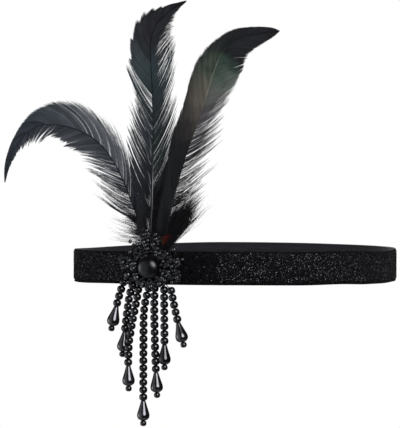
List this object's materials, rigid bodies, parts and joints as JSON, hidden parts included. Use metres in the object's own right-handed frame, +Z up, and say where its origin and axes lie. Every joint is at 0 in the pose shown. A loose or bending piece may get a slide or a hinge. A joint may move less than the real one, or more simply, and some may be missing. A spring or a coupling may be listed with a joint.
{
  "type": "flapper feather headband",
  "caption": "Stretch headband loop with a beaded flower and dome at one side, hanging bead strands ending in teardrops, and curved feather plumes rising behind it.",
  "frame": {"origin": "centre of the head loop, at half the band's height", "axes": "+Z up along the feathers, -Y to the front of the wearer's head as the picture shows it, +X to the right of the picture; the flower sits on the front wall, left of the middle"},
  "size_m": [0.2255, 0.176, 0.2384],
  "materials": {
    "glitter_band": "black stretch velvet with fine glitter flakes",
    "seed_beads": "glossy jet black seed beads on a black backing",
    "cabochon": "polished jet black dome",
    "round_beads": "glossy jet black round beads",
    "teardrops": "glossy black drops with a hematite shine",
    "dark_feathers": "black feather with a blue and teal sheen",
    "bronze_feather": "black feather with a green and bronze sheen"
  },
  "bodies": {
    "root": {"headband": "glitter_band", "bead_rosette": "seed_beads", "cabochon": "cabochon", "bead_strand_1": "round_beads", "bead_strand_2": "round_beads", "bead_strand_3": "round_beads", "bead_strand_4": "round_beads", "bead_strand_5": "round_beads", "bead_strand_6": "round_beads", "bead_strand_7": "round_beads", "teardrop_1": "teardrops", "teardrop_2": "teardrops", "teardrop_3": "teardrops", "teardrop_4": "teardrops", "teardrop_5": "teardrops", "teardrop_6": "teardrops", "teardrop_7": "teardrops", "feather_left": "dark_feathers", "feather_centre": "dark_feathers", "feather_right": "bronze_feather"}
  },
  "joints": []
}
